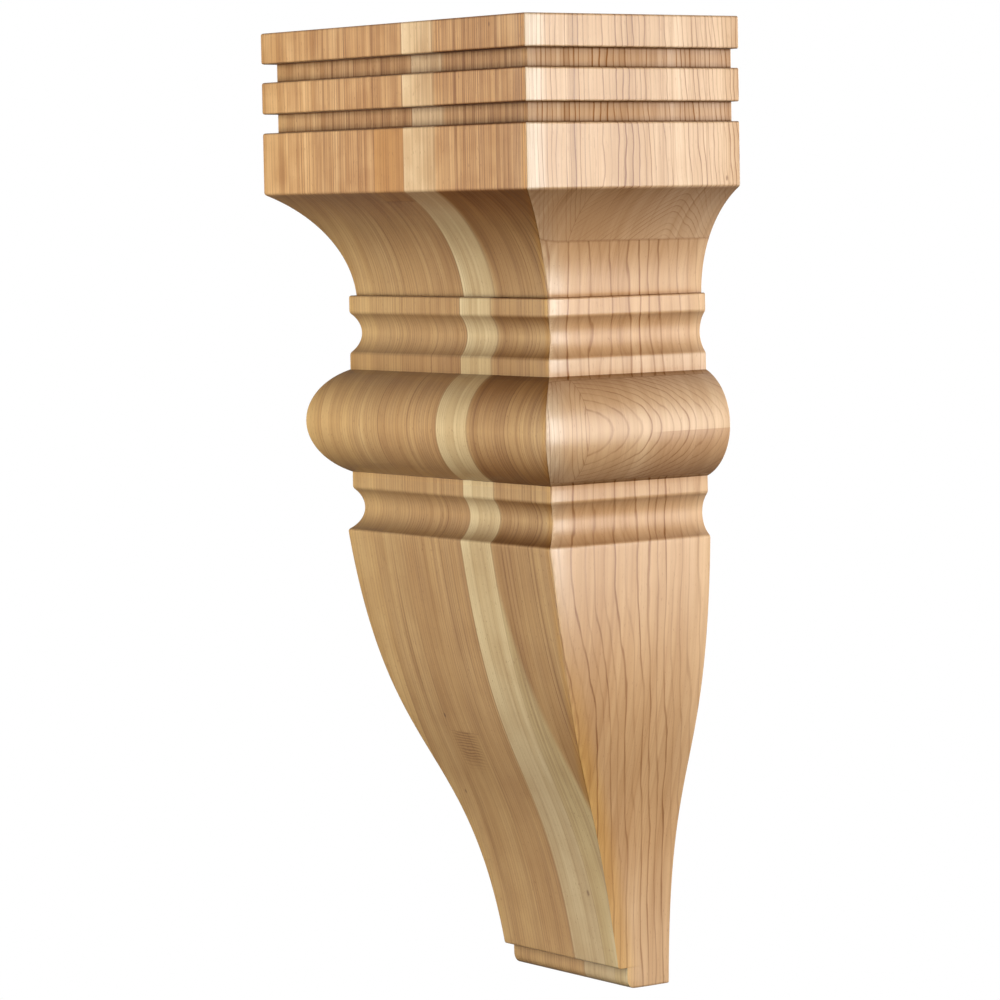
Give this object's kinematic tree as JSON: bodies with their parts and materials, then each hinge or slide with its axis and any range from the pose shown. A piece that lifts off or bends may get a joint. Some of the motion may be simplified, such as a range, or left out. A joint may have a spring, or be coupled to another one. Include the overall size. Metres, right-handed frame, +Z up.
{
  "type": "baroque corbel",
  "caption": "Wooden wall corbel with a square banded head, a wide hollow, a full roll between small coves and a long S-curved stem that narrows to a small foot.",
  "frame": {"origin": "middle of the flat back face, where the corbel is fixed to the wall, at half its height and half its width", "axes": "+Z up, +Y into the wall, -Y out of the wall to the front, +X to the right as seen from the front"},
  "size_m": [0.165, 0.0953, 0.3556],
  "materials": {
    "solid_hardwood": "glued-up closed-grain hardwood, sanded smooth, bare or thinly sealed, low satin sheen"
  },
  "bodies": {
    "root": {"corbel": "solid_hardwood"}
  },
  "joints": []
}
